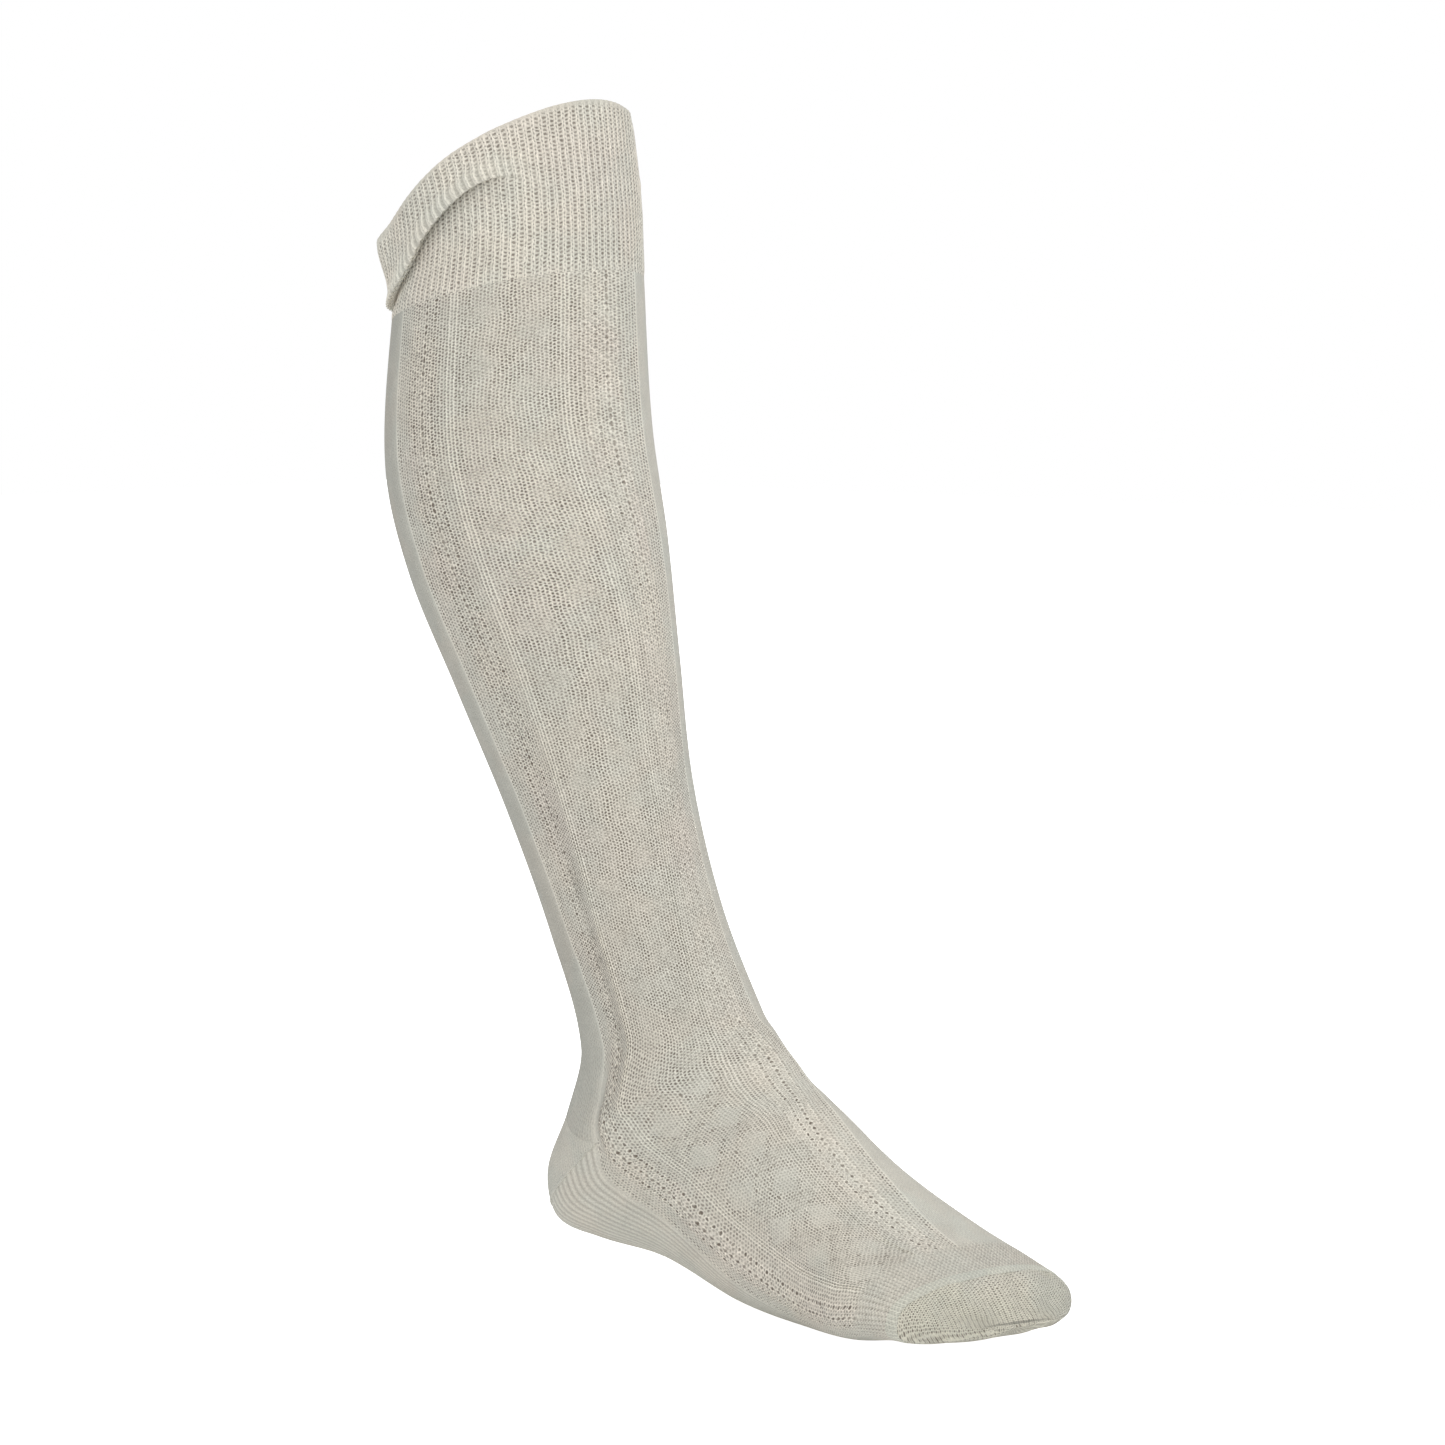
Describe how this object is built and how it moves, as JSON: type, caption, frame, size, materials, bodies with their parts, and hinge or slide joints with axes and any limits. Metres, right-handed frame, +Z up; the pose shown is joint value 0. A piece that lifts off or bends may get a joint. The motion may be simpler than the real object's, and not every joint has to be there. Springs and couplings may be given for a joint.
{
  "type": "knee sock",
  "caption": "Wool knee sock for a right leg, in the form it has when worn: ribbed cuff with a turned tuck, openwork leg, smooth heel and sole, rounded toe cap.",
  "frame": {"origin": "middle of the sock's mouth, where the leg goes in", "axes": "+Z up along the standing leg, +X forwards to the toes, +Y to the inner side of the leg, where the big toe is"},
  "size_m": [0.3344, 0.1136, 0.5007],
  "materials": {
    "cuff_wool": "matt ribbed wool, ecru",
    "leg_wool": "matt openwork wool, ecru",
    "heel_wool": "matt plain wool, ecru",
    "foot_wool": "matt wool, patterned on top and plain underneath, ecru",
    "seam_wool": "matt smooth wool, pale ecru",
    "toe_wool": "matt fine-knit wool, ecru"
  },
  "bodies": {
    "root": {"cuff": "cuff_wool", "leg": "leg_wool", "heel": "heel_wool", "foot": "foot_wool", "toe_seam": "seam_wool", "toe": "toe_wool"}
  },
  "joints": []
}
